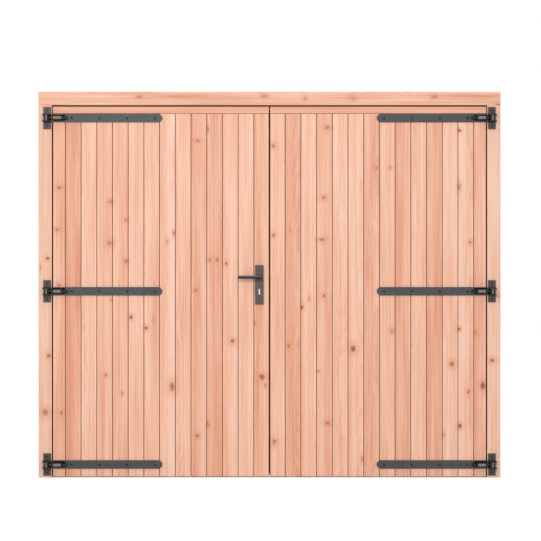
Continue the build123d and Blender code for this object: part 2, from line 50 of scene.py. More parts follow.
# The same in plain millimetres: hinge heights, lower and upper edge of each rail, and the braces' two ends
HINGE_HEIGHTS = (1984.0, 1028.5, 73.0)
TOP_RAIL = (1953.0, 2048.0)
MIDDLE_RAIL = (981.0, 1076.0)
BOTTOM_RAIL = (8.0, 103.0)
BRACE_OUTER = 1100.5
BRACE_INNER = 99.0
BRACE_SLOPE = math.atan2(TOP_RAIL[0] - MIDDLE_RAIL[1], BRACE_OUTER - BRACE_INNER)

# Most of a noise's values lie in this range; these are the first two numbers of a Map Range node
NOISE_RANGE = {1: 0.3, 2: 0.7}


def linear(hex_colour):
    """A linear RGBA colour from an sRGB hex string."""
    out = []
    for k in (0, 2, 4):
        c = int(hex_colour.lstrip("#")[k:k + 2], 16) / 255
        out.append(c / 12.92 if c <= 0.04045 else ((c + 0.055) / 1.055) ** 2.4)
    return (*out, 1.0)


def add_node(tree, kind, settings=None, **links):
    """One node: settings are its properties or numbered inputs, links are its inputs by name."""
    node = tree.nodes.new(kind)
    for key, value in (settings or {}).items():
        if isinstance(key, int) or key in node.inputs:
            node.inputs[key].default_value = value
        else:
            setattr(node, key, value)
    for key, source in links.items():
        socket = node.inputs[int(key[1:])] if key[0] == "i" and key[1:].isdigit() else node.inputs[key]
        tree.links.new(source, socket)
    return node


def new_material(name, **sockets):
    """A material with one Principled shader whose sockets have these values."""
    material = bpy.data.materials.new(name)
    material.use_nodes = True
    shader = material.node_tree.nodes["Principled BSDF"]
    for key, value in sockets.items():
        shader.inputs[key.replace("_", " ")].default_value = value
    return material, material.node_tree, shader


def set_stops(ramp, *stops):
    """Give a colour ramp its stops, each a position and a linear colour, from first to last."""
    elements = ramp.color_ramp.elements
    elements[0].position, elements[0].color = stops[0]
    elements[1].position, elements[1].color = stops[-1]
    for position, colour in stops[1:-1]:
        elements.new(position).color = colour


def shade(colour, factor):
    """A linear colour made darker or lighter by a factor."""
    return tuple(min(1.0, c * factor) for c in colour[:3]) + (1.0,)


def paint(node_name, material):
    """Give a CAD node its material."""
    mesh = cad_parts[node_name].data
    mesh.materials.clear()
    mesh.materials.append(material)


# Knots as they lie on the doors: place across, height, half width and half height in millimetres,
# and how dark the heart is. Near each knot the rings bend round it.
LEFT_LEAF_KNOTS = [
    (-538, 502, 12, 20, 0.75), (-41, 556, 13, 13, 0.9), (-205, 755, 10, 11, 0.85), (-328, 1201, 7, 8, 0.65),
    (-290, 1200, 7, 8, 0.65), (-764, 884, 7, 10, 0.95), (-1161, 1600, 12, 8, 0.6), (-681, 826, 7, 9, 0.9),
    (-883, 1294, 12, 11, 0.55), (-398, 230, 8, 8, 0.7), (-1147, 357, 8, 9, 0.6), (-398, 1859, 10, 7, 0.65),
    (-1172, 1369, 10, 7, 0.6), (-407, 1032, 7, 9, 0.65), (-792, 1194, 8, 9, 0.6), (-528, 1350, 5, 11, 0.8),
    (-240, 1181, 6, 8, 0.7), (-341, 293, 5, 11, 0.6), (-340, 1925, 4, 12, 0.6), (-879, 1524, 8, 8, 0.5),
    (-903, 565, 6, 8, 0.6), (-23, 509, 5, 10, 0.5), (-793, 1422, 8, 7, 0.45), (-813, 463, 5, 7, 0.6),
    (-565, 1301, 4, 10, 0.4), (-640, 871, 3, 10, 0.5), (-876, 981, 5, 5, 0.6), (-78, 849, 4, 8, 0.5),
    (-1162, 1063, 7, 9, 0.5),
]
RIGHT_LEAF_KNOTS = [
    (462, 710, 10, 15, 1.0), (1178, 508, 12, 18, 0.95), (1007, 627, 11, 11, 0.8), (1051, 284, 7, 11, 1.0),
    (290, 1314, 14, 8, 0.6), (25, 198, 9, 13, 0.7), (320, 1932, 11, 9, 0.6), (22, 1831, 9, 9, 0.7),
    (22, 1339, 8, 9, 0.7), (319, 300, 11, 9, 0.55), (1046, 820, 7, 8, 0.95), (180, 939, 7, 10, 0.9),
    (1098, 471, 7, 11, 0.65), (1049, 1916, 7, 7, 0.95), (299, 1545, 10, 9, 0.55), (1047, 1604, 6, 14, 0.65),
    (1107, 1300, 7, 8, 0.65), (512, 102, 4, 14, 0.65), (301, 1003, 7, 8, 0.65), (675, 808, 9, 9, 0.45),
    (1137, 801, 6, 10, 0.5), (959, 236, 5, 9, 0.4), (667, 1710, 5, 7, 0.5), (270, 586, 5, 5, 0.5),
    (590, 1707, 6, 6, 0.45), (220, 989, 4, 10, 0.4), (110, 1372, 3, 14, 0.3), (108, 726, 7, 10, 0.6),
]
POST_KNOTS = [(-1237, 361, 13, 14, 0.8), (1228, 647, 10, 10, 0.9), (-1225, 1209, 8, 8, 0.95),
              (-1218, 673, 9, 9, 0.9), (1267, 999, 4, 10, 0.5), (-1264, 1160, 3, 10, 0.4)]
HEAD_KNOTS = [(-719, 2102, 16, 7, 0.6), (911, 2102, 16, 7, 0.6), (-28, 2107, 14, 6, 0.55),
              (1261, 2058, 8, 6, 0.85), (458, 2093, 12, 7, 0.35), (196, 2092, 8, 7, 0.4),
              (1148, 2105, 110, 5, 0.3), (-486, 2104, 110, 5, 0.3)]

# Painted shade: the dark brown laid on the wood's edges that line the gaps, where the gaps shade them
GAP_SHADE = "5A1A04"

# Boards that are redder or creamier than the rest: count from the meeting edge, and how much
LEFT_LEAF_TONES = [(12, 0.22), (11, 0.42), (9, 0.22), (8, 0.19), (3, 0.24), (2, 0.36), (1, -0.1), (-1, 0.2)]
RIGHT_LEAF_TONES = [(0, 0.32), (2, 0.24), (5, 0.28), (7, 0.29), (9, 0.38), (12, 0.16)]


def fir(name, along, knots=(), tones=None, light="F4CCB7", middle="EDB99E", dark="DC987C", seed=0.0,
        middle_line=0.0, inner_edge=None, upper_edge=None, pith_depth=0.07, ring=0.0055, figure=0.24,
        turned=None):
    """Planed fir with a clear oil finish. Rings are cylinders round a pith that lies behind the face
    and drifts along the piece, so flat-sawn arches and straight edge grain both come out of it."""
    material, tree, shader = new_material(name, Roughness=0.52, IOR=1.46, Specular_IOR_Level=0.2)
    place = add_node(tree, "ShaderNodeTexCoord").outputs["Object"]
    if turned:
        # A slanting piece has its grain along its own length
        place = add_node(tree, "ShaderNodeMapping", {2: (0.0, turned, 0.0)}, i0=place).outputs[0]
    axes = add_node(tree, "ShaderNodeSeparateXYZ", i0=place)
    lengthways = axes.outputs[along]
    across = axes.outputs["Z" if along == "X" else "X"]
    depth = axes.outputs["Y"]

    # One number for each board, unlike on the two leaves, and the place across it from its middle
    sign = add_node(tree, "ShaderNodeMath", {"operation": "SIGN"}, i0=across)
    outward = add_node(tree, "ShaderNodeMath", {"operation": "ABSOLUTE"}, i0=across).outputs[0]
    if tones:
        counted = add_node(tree, "ShaderNodeMath", {"operation": "MULTIPLY_ADD", 1: 1 / BOARD_PITCH,
                                                    2: -FIRST_JOINT / BOARD_PITCH}, i0=outward)
        count = add_node(tree, "ShaderNodeMath", {"operation": "FLOOR"}, i0=counted.outputs[0])
        part = add_node(tree, "ShaderNodeMath", {"operation": "FRACT"}, i0=counted.outputs[0])
        board = add_node(tree, "ShaderNodeMath", {"operation": "MULTIPLY_ADD", 1: 31.0},
                         i0=sign.outputs[0], i2=count.outputs[0]).outputs[0]
        local = add_node(tree, "ShaderNodeMath", {"operation": "MULTIPLY_ADD", 1: BOARD_PITCH,
                                                  2: -BOARD_PITCH / 2}, i0=part.outputs[0]).outputs[0]
    else:
        board = add_node(tree, "ShaderNodeMath", {"operation": "ADD", 1: seed}, i0=sign.outputs[0]).outputs[0]
        local = add_node(tree, "ShaderNodeMath", {"operation": "SUBTRACT", 1: middle_line},
                         i0=outward).outputs[0]
    chance = add_node(tree, "ShaderNodeTexWhiteNoise", {"noise_dimensions": "1D"}, W=board)
    chances = add_node(tree, "ShaderNodeSeparateColor", i0=chance.outputs["Color"])

    # Knots pull the grain towards them and add their own heart; none is quite round
    bend = None
    heart = None
    ragged = add_node(tree, "ShaderNodeTexNoise", {"Scale": 85.0, "Detail": 2.0, "Roughness": 0.6},
                      Vector=place)
    ragged_shift = add_node(tree, "ShaderNodeVectorMath",
                            {"operation": "MULTIPLY_ADD", 1: (0.016, 0.0, 0.016), 2: (-0.008, 0.0, -0.008)},
                            i0=ragged.outputs["Color"])
    ragged_place = add_node(tree, "ShaderNodeVectorMath", {"operation": "ADD"}, i0=place,
                            i1=ragged_shift.outputs[0]).outputs[0]
    for x, z, half_width, half_height, darkness in knots:
        centre = (x * MM, 0.0, z * MM)
        from_centre = add_node(tree, "ShaderNodeVectorMath", {"operation": "SUBTRACT", 1: centre},
                               i0=ragged_place)
        size = (1 / (half_width * MM), 0.0, 1 / (half_height * MM))
        scaled = add_node(tree, "ShaderNodeVectorMath", {"operation": "MULTIPLY", 1: size},
                          i0=from_centre.outputs[0])
        reach = add_node(tree, "ShaderNodeVectorMath", {"operation": "LENGTH"}, i0=scaled.outputs[0])
        near = add_node(tree, "ShaderNodeMapRange", {"interpolation_type": "SMOOTHERSTEP", 1: 0.6, 2: 5.0,
                                                     3: 1.0, 4: 0.0}, i0=reach.outputs["Value"])
        core = add_node(tree, "ShaderNodeMapRange", {"interpolation_type": "SMOOTHSTEP", 1: 0.4, 2: 1.7,
                                                     3: darkness, 4: 0.0}, i0=reach.outputs["Value"])
        bend = near.outputs[0] if bend is None else add_node(
            tree, "ShaderNodeMath", {"operation": "MAXIMUM"}, i0=bend, i1=near.outputs[0]).outputs[0]
        heart = core.outputs[0] if heart is None else add_node(
            tree, "ShaderNodeMath", {"operation": "MAXIMUM"}, i0=heart, i1=core.outputs[0]).outputs[0]

    # The pith wanders slowly along the piece
    drift_place = add_node(tree, "ShaderNodeCombineXYZ", i0=board, i2=lengthways)
    drift = add_node(tree, "ShaderNodeTexNoise", {"noise_dimensions": "3D", "Scale": 1.1, "Detail": 2.0,
                                                  "Roughness": 0.45}, Vector=drift_place.outputs[0])
    drifts = add_node(tree, "ShaderNodeSeparateColor", i0=drift.outputs["Color"])
    pith_side = add_node(tree, "ShaderNodeMath", {"operation": "MULTIPLY_ADD", 1: 0.24, 2: -0.12},
                         i0=chances.outputs[0])
    side_drift = add_node(tree, "ShaderNodeMath", {"operation": "MULTIPLY_ADD", 1: 0.05},
                          i0=drifts.outputs[0], i2=pith_side.outputs[0])
    ring_x = add_node(tree, "ShaderNodeMath", {"operation": "SUBTRACT"}, i0=local, i1=side_drift.outputs[0])
    pith_back = add_node(tree, "ShaderNodeMath",
                         {"operation": "MULTIPLY_ADD", 1: pith_depth, 2: pith_depth * 0.35},
                         i0=chances.outputs[1])
    back_drift = add_node(tree, "ShaderNodeMath", {"operation": "MULTIPLY_ADD", 1: 0.09},
                          i0=drifts.outputs[1], i2=pith_back.outputs[0])
    ring_y = add_node(tree, "ShaderNodeMath", {"operation": "SUBTRACT"}, i0=depth, i1=back_drift.outputs[0])
    ring_place = add_node(tree, "ShaderNodeCombineXYZ", i0=ring_x.outputs[0], i1=ring_y.outputs[0])
    radius = add_node(tree, "ShaderNodeVectorMath", {"operation": "LENGTH"}, i0=ring_place.outputs[0])
    waver_place = add_node(tree, "ShaderNodeCombineXYZ", i0=board, i1=local, i2=lengthways)
    waver_scaled = add_node(tree, "ShaderNodeVectorMath", {"operation": "MULTIPLY", 1: (7.3, 40.0, 5.0)},
                            i0=waver_place.outputs[0])
    waver = add_node(tree, "ShaderNodeTexNoise", {"Scale": 1.0, "Detail": 3.0, "Roughness": 0.5},
                     Vector=waver_scaled.outputs[0])
    wavered = add_node(tree, "ShaderNodeMath", {"operation": "MULTIPLY_ADD", 1: 0.006},
                       i0=waver.outputs["Fac"], i2=radius.outputs["Value"])
    if knots:
        wavered = add_node(tree, "ShaderNodeMath", {"operation": "MULTIPLY_ADD", 1: -0.011},
                           i0=bend, i2=wavered.outputs[0])
    counted_rings = add_node(tree, "ShaderNodeMath", {"operation": "MULTIPLY", 1: 1 / ring},
                             i0=wavered.outputs[0])
    season = add_node(tree, "ShaderNodeMath", {"operation": "FRACT"}, i0=counted_rings.outputs[0])
    late = add_node(tree, "ShaderNodeValToRGB", i0=season.outputs[0])
    set_stops(late, (0.0, (0.0, 0.0, 0.0, 1.0)), (0.35, (0.12, 0.12, 0.12, 1.0)),
              (0.86, (1.0, 1.0, 1.0, 1.0)), (0.99, (0.0, 0.0, 0.0, 1.0)))

    # Fine fibres run along the piece, a few millimetres apart
    fibre_place = add_node(tree, "ShaderNodeCombineXYZ", i0=local, i1=depth, i2=lengthways)
    fibre_scaled = add_node(tree, "ShaderNodeVectorMath", {"operation": "MULTIPLY", 1: (170.0, 170.0, 1.6)},
                            i0=fibre_place.outputs[0])
    fibre_moved = add_node(tree, "ShaderNodeVectorMath", {"operation": "ADD"}, i0=fibre_scaled.outputs[0],
                           i1=chance.outputs["Color"])
    fibre = add_node(tree, "ShaderNodeTexNoise", {"Scale": 1.0, "Detail": 4.0, "Roughness": 0.6},
                     Vector=fibre_moved.outputs[0])
    cloud_scaled = add_node(tree, "ShaderNodeVectorMath", {"operation": "MULTIPLY", 1: (3.0, 22.0, 1.6)},
                            i0=waver_place.outputs[0])
    cloud = add_node(tree, "ShaderNodeTexNoise", {"Scale": 1.0, "Detail": 3.0, "Roughness": 0.55},
                     Vector=cloud_scaled.outputs[0])

    # Straight pale and dark streaks, drawn about a centimetre apart so that they show
    streak_scaled = add_node(tree, "ShaderNodeVectorMath", {"operation": "MULTIPLY", 1: (95.0, 95.0, 0.35)},
                             i0=fibre_place.outputs[0])
    streak_moved = add_node(tree, "ShaderNodeVectorMath", {"operation": "ADD"}, i0=streak_scaled.outputs[0],
                            i1=chance.outputs["Color"])
    streak = add_node(tree, "ShaderNodeTexNoise", {"Scale": 1.0, "Detail": 1.0, "Roughness": 0.5},
                      Vector=streak_moved.outputs[0])
    streak_tone = add_node(tree, "ShaderNodeMapRange", NOISE_RANGE | {3: -0.13, 4: 0.13},
                           i0=streak.outputs["Fac"])

    # Earlywood is creamy, latewood orange, and boards differ from each other
    fibre_tone = add_node(tree, "ShaderNodeMapRange", NOISE_RANGE | {3: 0.0, 4: 0.5}, i0=fibre.outputs["Fac"])
    cloud_tone = add_node(tree, "ShaderNodeMapRange", NOISE_RANGE | {3: -0.2, 4: 0.25},
                          i0=cloud.outputs["Fac"])
    board_tone = add_node(tree, "ShaderNodeMapRange", {1: 0.0, 2: 1.0, 3: -0.06, 4: 0.06},
                          i0=chances.outputs[2])
    # One edge of a board often lies nearer the heart and is redder
    if tones or middle_line:
        slope = add_node(tree, "ShaderNodeMapRange", {1: 0.0, 2: 1.0, 3: -5.0, 4: 5.0}, i0=chances.outputs[1])
        board_tone = add_node(tree, "ShaderNodeMath", {"operation": "MULTIPLY_ADD"}, i0=slope.outputs[0],
                              i1=local, i2=board_tone.outputs[0])
    for place_in_row, amount in tones or ():
        chosen = add_node(tree, "ShaderNodeMath", {"operation": "COMPARE", 1: place_in_row, 2: 0.4},
                          i0=count.outputs[0])
        board_tone = add_node(tree, "ShaderNodeMath", {"operation": "MULTIPLY_ADD", 1: amount},
                              i0=chosen.outputs[0], i2=board_tone.outputs[0])
    toned = fibre_tone.outputs[0]
    for part_tone in (cloud_tone, board_tone, streak_tone):
        toned = add_node(tree, "ShaderNodeMath", {"operation": "ADD"}, i0=toned,
                         i1=part_tone.outputs[0]).outputs[0]
    bold = add_node(tree, "ShaderNodeMath", {"operation": "MULTIPLY_ADD", 1: figure, 2: figure * 0.35},
                    i0=chances.outputs[0])
    toned = add_node(tree, "ShaderNodeMath", {"operation": "MULTIPLY_ADD"}, i0=bold.outputs[0],
                     i1=late.outputs["Color"], i2=toned)
    ramp = add_node(tree, "ShaderNodeValToRGB", i0=toned.outputs[0])
    set_stops(ramp, (0.0, linear(light)), (0.42, linear(middle)), (1.0, linear(dark)))

    # Each tint is laid over the last: how much of it, and its colour
    tints = []
    if knots:
        halo = add_node(tree, "ShaderNodeMath", {"operation": "MULTIPLY", 1: 0.42}, i0=bend)
        soft_heart = add_node(tree, "ShaderNodeMath", {"operation": "MULTIPLY", 1: 0.9}, i0=heart)
        tints += [(halo, "D98F6E"), (soft_heart, "985030")]
    if tones:
        # Painted shade: the boards' eased edges are darkened where the V-joints shade them, and so are the
        # leaf's edges at the posts and the meeting gap, where the gaps shade them
        edge = add_node(tree, "ShaderNodeMath", {"operation": "ABSOLUTE"}, i0=local)
        joint_shade = add_node(tree, "ShaderNodeMapRange", {1: BOARD_PITCH / 2 - 3.2 * MM,
                                                      2: BOARD_PITCH / 2 - 1.2 * MM,
                                                      3: 0.0, 4: 0.8}, i0=edge.outputs[0])
        at_post = add_node(tree, "ShaderNodeMapRange", {1: LEAF_EDGE - 1.9 * MM, 2: LEAF_EDGE - 1.3 * MM,
                                                        3: 0.0, 4: 0.95}, i0=outward)
        at_gap = add_node(tree, "ShaderNodeMapRange", {1: MEETING_EDGE + 0.2 * MM, 2: MEETING_EDGE + 0.5 * MM,
                                                       3: 0.95, 4: 0.0}, i0=outward)
        gap_edge_shade = add_node(tree, "ShaderNodeMath", {"operation": "MAXIMUM"}, i0=at_post.outputs[0],
                          i1=at_gap.outputs[0])
        tints += [(joint_shade, "6A3016"), (gap_edge_shade, GAP_SHADE)]
    if inner_edge:
        # Painted shade: the arris towards the leaves is darkened for a centimetre and a half behind the face,
        # where the gap shades it
        by_face = add_node(tree, "ShaderNodeMapRange", {1: FRONT + 12 * MM, 2: FRONT + 18 * MM,
                                                        3: 0.95, 4: 0.0}, i0=depth)
        inside = add_node(tree, "ShaderNodeMapRange", {1: inner_edge, 2: inner_edge + 0.5 * MM, 4: 0.0},
                          i0=outward, i3=by_face.outputs[0])
        tints.append((inside, GAP_SHADE))
    if upper_edge:
        # Painted shade: the strip's top arris lies in the head's rebate and is darkened where the rebate
        # shades it
        top_arris_shade = add_node(tree, "ShaderNodeMapRange", {1: upper_edge, 2: upper_edge + 0.5 * MM,
                                                       3: 0.0, 4: 0.95}, i0=outward)
        tints.append((top_arris_shade, GAP_SHADE))
    colour = ramp.outputs["Color"]
    for amount, tint in tints:
        colour = add_node(tree, "ShaderNodeMix", {"data_type": "RGBA", 7: linear(tint)},
                          i0=amount.outputs[0], i6=colour).outputs[2]
    tree.links.new(colour, shader.inputs["Base Color"])

    # Fibres stand a hair proud of the planed face
    relief = add_node(tree, "ShaderNodeBump", {"Strength": 0.12, "Distance": 0.0006},
                      Height=fibre.outputs["Fac"])
    tree.links.new(relief.outputs["Normal"], shader.inputs["Normal"])
    rough = add_node(tree, "ShaderNodeMapRange", NOISE_RANGE | {3: 0.46, 4: 0.6}, i0=fibre.outputs["Fac"])
    tree.links.new(rough.outputs[0], shader.inputs["Roughness"])
    return material


left_fir_boards = fir("fir boards of the left leaf", "Z", LEFT_LEAF_KNOTS, LEFT_LEAF_TONES)
right_fir_boards = fir("fir boards of the right leaf", "Z", RIGHT_LEAF_KNOTS, RIGHT_LEAF_TONES)
fir_posts = fir("fir posts", "Z", POST_KNOTS, light="F1CBB5", middle="EBBCA2", dark="DB9E80", seed=3.0,
                middle_line=1.224, inner_edge=POST_EDGE + 1.3 * MM)
fir_head = fir("fir head", "X", HEAD_KNOTS, light="F2C8B1", middle="EAB59A", dark="D89478", seed=7.0,
               middle_line=2.0925, inner_edge=HEAD_UNDERSIDE + 0.2 * MM)
fir_top_strip = fir("fir top strip", "X", light="E9B69C", middle="E4A78A", dark="D18665", seed=11.0,
                    middle_line=2.029, upper_edge=LEAF_TOP - 1.8 * MM)
fir_stile = fir("fir stiles", "Z", light="F4CCB7", middle="EDBCA2", dark="DA9C80", seed=13.0)
fir_packer = fir("fir packer", "Z", light="D9A285", middle="CE9474", dark="B67A5A", seed=19.0)
fir_rail = fir("fir rails", "X", light="F4CCB7", middle="EDBCA2", dark="DA9C80", seed=17.0)
fir_braces = {
    side: fir(f"fir braces of the {side} leaf", "X", light="F3CBB5", middle="ECBA9F", dark="D99A7E",
              seed=seed, turned=slope)
    for side, seed, slope in (("left", 23.0, BRACE_SLOPE), ("right", 29.0, -BRACE_SLOPE))
}


def coated_steel(name, colour, shine_from, shine_to, grain_mm, painted_shade_below=None, painted_shade_before=None,
                 painted_highlight_before=None):
    """Powder-coated steel: an even orange-peel skin, with painted shade and a painted highlight where they
    are asked for.
    """
    material, tree, shader = new_material(name, Metallic=0.0, IOR=1.5, Specular_IOR_Level=0.35)
    place = add_node(tree, "ShaderNodeTexCoord").outputs["Object"]
    peel = add_node(tree, "ShaderNodeTexNoise", {"Scale": 1000 / grain_mm / 3, "Detail": 2.0,
                                                 "Roughness": 0.5}, Vector=place)
    cloud = add_node(tree, "ShaderNodeTexNoise", {"Scale": 24.0, "Detail": 3.0, "Roughness": 0.6},
                     Vector=place)
    tone = add_node(tree, "ShaderNodeValToRGB", i0=cloud.outputs["Fac"])
    base = linear(colour)
    set_stops(tone, (0.3, shade(base, 0.86)), (0.7, shade(base, 1.12)))
    axes = add_node(tree, "ShaderNodeSeparateXYZ", i0=place)
    depth = axes.outputs["Y"]
    tints = []
    if painted_shade_below:
        # Painted shade: the grip's lower half is painted near black, as the shade on its underside
        underside_shade = add_node(tree, "ShaderNodeMath", {"operation": "LESS_THAN", 1: painted_shade_below},
                          i0=axes.outputs["Z"])
        tints.append((underside_shade, "0A0605"))
    if painted_shade_before:
        # Painted shade: whatever stands proud of the flat plate is painted black
        proud_shade = add_node(tree, "ShaderNodeMapRange", {1: painted_shade_before - 2 * MM, 2: painted_shade_before,
                                                      3: 1.0, 4: 0.0}, i0=depth)
        tints.append((proud_shade, "0C0C0C"))
    if painted_highlight_before:
        # Painted highlight: its crown is painted a lighter grey
        crown_highlight = add_node(tree, "ShaderNodeMapRange", {1: painted_highlight_before - 0.8 * MM, 2: painted_highlight_before,
                                                      3: 1.0, 4: 0.0}, i0=depth)
        tints.append((crown_highlight, "747776"))
    coat = tone.outputs["Color"]
    for amount, tint in tints:
        coat = add_node(tree, "ShaderNodeMix", {"data_type": "RGBA", 7: linear(tint)},
                        i0=amount.outputs[0], i6=coat).outputs[2]
    tree.links.new(coat, shader.inputs["Base Color"])
    rough = add_node(tree, "ShaderNodeMapRange", NOISE_RANGE | {3: shine_from, 4: shine_to},
                     i0=peel.outputs["Fac"])
    tree.links.new(rough.outputs[0], shader.inputs["Roughness"])
    relief = add_node(tree, "ShaderNodeBump", {"Strength": 0.25, "Distance": 0.0002},
                      Height=peel.outputs["Fac"])
    tree.links.new(relief.outputs["Normal"], shader.inputs["Normal"])
    return material


def bare_metal(name, colour, rough_from, rough_to, brushed, scale, highlight_centre=None):
    """Plated or drawn metal: fine lines or spangle in its roughness and a faint tint."""
    material, tree, shader = new_material(name, Metallic=1.0)
    place = add_node(tree, "ShaderNodeTexCoord").outputs["Object"]
    stretched = add_node(tree, "ShaderNodeVectorMath", {"operation": "MULTIPLY", 1: brushed}, i0=place)
    lines = add_node(tree, "ShaderNodeTexNoise", {"Scale": scale, "Detail": 3.0, "Roughness": 0.6},
                     Vector=stretched.outputs[0])
    base = linear(colour)
    tone = add_node(tree, "ShaderNodeValToRGB", i0=lines.outputs["Fac"])
    set_stops(tone, (0.25, shade(base, 0.88)), (0.75, shade(base, 1.08)))
    metal = tone.outputs["Color"]
    if highlight_centre:
        # Painted highlight: the middle of the face, round the keyway, is painted bright
        axes = add_node(tree, "ShaderNodeSeparateXYZ", i0=place)
        keyway_highlight = add_node(tree, "ShaderNodeMath", {"operation": "COMPARE", 1: highlight_centre, 2: 4.2 * MM},
                          i0=axes.outputs["X"])
        metal = add_node(tree, "ShaderNodeMix", {"data_type": "RGBA", 7: linear("B9B7B3")},
                         i0=keyway_highlight.outputs[0], i6=metal).outputs[2]
    tree.links.new(metal, shader.inputs["Base Color"])
    rough = add_node(tree, "ShaderNodeMapRange", NOISE_RANGE | {3: rough_from, 4: rough_to},
                     i0=lines.outputs["Fac"])
    tree.links.new(rough.outputs[0], shader.inputs["Roughness"])
    return material


coated_straps = coated_steel("powder-coated hinge straps", "434445", 0.38, 0.5, 1.2, painted_shade_before=-41 * MM,
                             painted_highlight_before=-63.2 * MM)
coated_brackets = coated_steel("powder-coated hinge brackets", "434445", 0.38, 0.5, 1.2,
                               painted_shade_before=-40 * MM)
coated_handles = coated_steel("powder-coated handle plates", "4E4D4A", 0.32, 0.42, 0.9)
coated_levers = coated_steel("powder-coated levers with a black underside", "4E4D4A", 0.32, 0.42, 0.9, 1.1075)
# Blackened steel; its near black also stands in for the shade round the sleeves and eyes
black_bolts = coated_steel("blackened eye bolts, nuts and pins", "0E0E0E", 0.24, 0.34, 0.8,
                           painted_highlight_before=-67.7 * MM)
black_screws = coated_steel("blackened screws", "151515", 0.35, 0.5, 0.6)
satin_cylinder = bare_metal("satin nickel lock cylinder", "6A6866", 0.3, 0.42, (1.0, 0.05, 1.0), 900.0,
                            -56 * MM)
satin_plug = bare_metal("satin nickel cylinder plug", "777572", 0.24, 0.36, (1.0, 0.05, 1.0), 900.0, -56 * MM)
# Burnished steel, kept dark partly as painted shade: the latch seen in the meeting gap stands in for the
# shade there
lock_steel_and_gap_shade = bare_metal("burnished steel of the lock", "4A4440", 0.34, 0.46, (1.0, 1.0, 0.08), 500.0)
zinc_plate = bare_metal("zinc-plated steel", "C3C6C8", 0.28, 0.46, (1.0, 1.0, 1.0), 60.0)


def soft_rubber(name, colour, grain_mm):
    """Extruded rubber: matt, with a faint bloom, and no gloss to speak of."""
    material, tree, shader = new_material(name, Roughness=0.8, Specular_IOR_Level=0.05)
    place = add_node(tree, "ShaderNodeTexCoord").outputs["Object"]
    bloom = add_node(tree, "ShaderNodeTexNoise", {"Scale": 1000 / grain_mm / 3, "Detail": 3.0}, Vector=place)
    tone = add_node(tree, "ShaderNodeValToRGB", i0=bloom.outputs["Fac"])
    base = linear(colour)
    set_stops(tone, (0.3, shade(base, 0.85)), (0.7, shade(base, 1.15)))
    tree.links.new(tone.outputs["Color"], shader.inputs["Base Color"])
    relief = add_node(tree, "ShaderNodeBump", {"Strength": 0.3, "Distance": 0.0002},
                      Height=bloom.outputs["Fac"])
    tree.links.new(relief.outputs["Normal"], shader.inputs["Normal"])
    return material


# Real seal rubber whose dark red-brown also stands in for the shade in the gaps
seal_and_gap_shade = soft_rubber("red-brown rubber seal", "701E04", 2.0)
# Painted shade: black pads put under the sleeves where there is only shade
black_shade_rubber = soft_rubber("black pads under the sleeves", "0B0A0A", 2.0)
# Real brush fibre whose dark brown also stands in for the shade under the leaves
brush_and_foot_shade = soft_rubber("brown brush fibre", "5C4236", 1.5)

for side, boards in (("left", left_fir_boards), ("right", right_fir_boards)):
    paint(f"{side}_post", fir_posts)
    paint(f"{side}_boards", boards)
    paint(f"{side}_top_strip", fir_top_strip)
    for stile in ("hinge", "meeting"):
        paint(f"{side}_{stile}_stile", fir_stile)
    for rail in ("top_rail", "middle_rail", "bottom_rail"):
        paint(f"{side}_{rail}", fir_rail)
    for brace in ("upper_brace", "lower_brace"):
        paint(f"{side}_{brace}", fir_braces[side])
    for place in ("upper", "middle", "lower"):
        paint(f"{side}_{place}_bracket", coated_brackets)
        paint(f"{side}_{place}_strap", coated_straps)
    paint(f"{side}_eye_bolts", black_bolts)
    paint(f"{side}_lock_nuts", black_bolts)
paint("head_beam", fir_head)
paint("meeting_strip", fir_stile)
paint("hinge_pins", black_bolts)
for name in ("outer_plate", "inner_plate"):
    paint(name, coated_handles)
for name in ("outer_lever", "inner_lever"):
    paint(name, coated_levers)
paint("cylinder_body", satin_cylinder)
paint("cylinder_plug", satin_plug)
for name in ("lock_case", "spindle", "latch_bolt", "dead_bolt", "strike_plate"):
    paint(name, lock_steel_and_gap_shade)
for name in ("upper_bolt_guide", "lower_bolt_guide", "upper_shoot_bolt", "lower_shoot_bolt"):
    paint(name, zinc_plate)


# Fastenings and trim, grown by Geometry Nodes and turned into plain meshes

def new_growth(name, inputs):
    """An empty node group for a piece, with its named sizes; inputs are (name, kind, value)."""
    tree = bpy.data.node_groups.new(name, "GeometryNodeTree")
    tree.interface.new_socket("Geometry", in_out="INPUT", socket_type="NodeSocketGeometry")
    for label, kind, value in inputs:
        socket = tree.interface.new_socket(label, in_out="INPUT", socket_type=f"NodeSocket{kind}")
        if value is not None:
            socket.default_value = value
    tree.interface.new_socket("Geometry", in_out="OUTPUT", socket_type="NodeSocketGeometry")
    return tree, add_node(tree, "NodeGroupInput"), add_node(tree, "NodeGroupOutput")


def finish_growth(tree, source, output, geometry):
    """Every piece ends in Realize Instances and Set Material."""
    whole = add_node(tree, "GeometryNodeRealizeInstances", Geometry=geometry)
    painted = add_node(tree, "GeometryNodeSetMaterial", Geometry=whole.outputs[0],
                       Material=source.outputs["Material"])
    tree.links.new(painted.outputs[0], output.inputs[0])


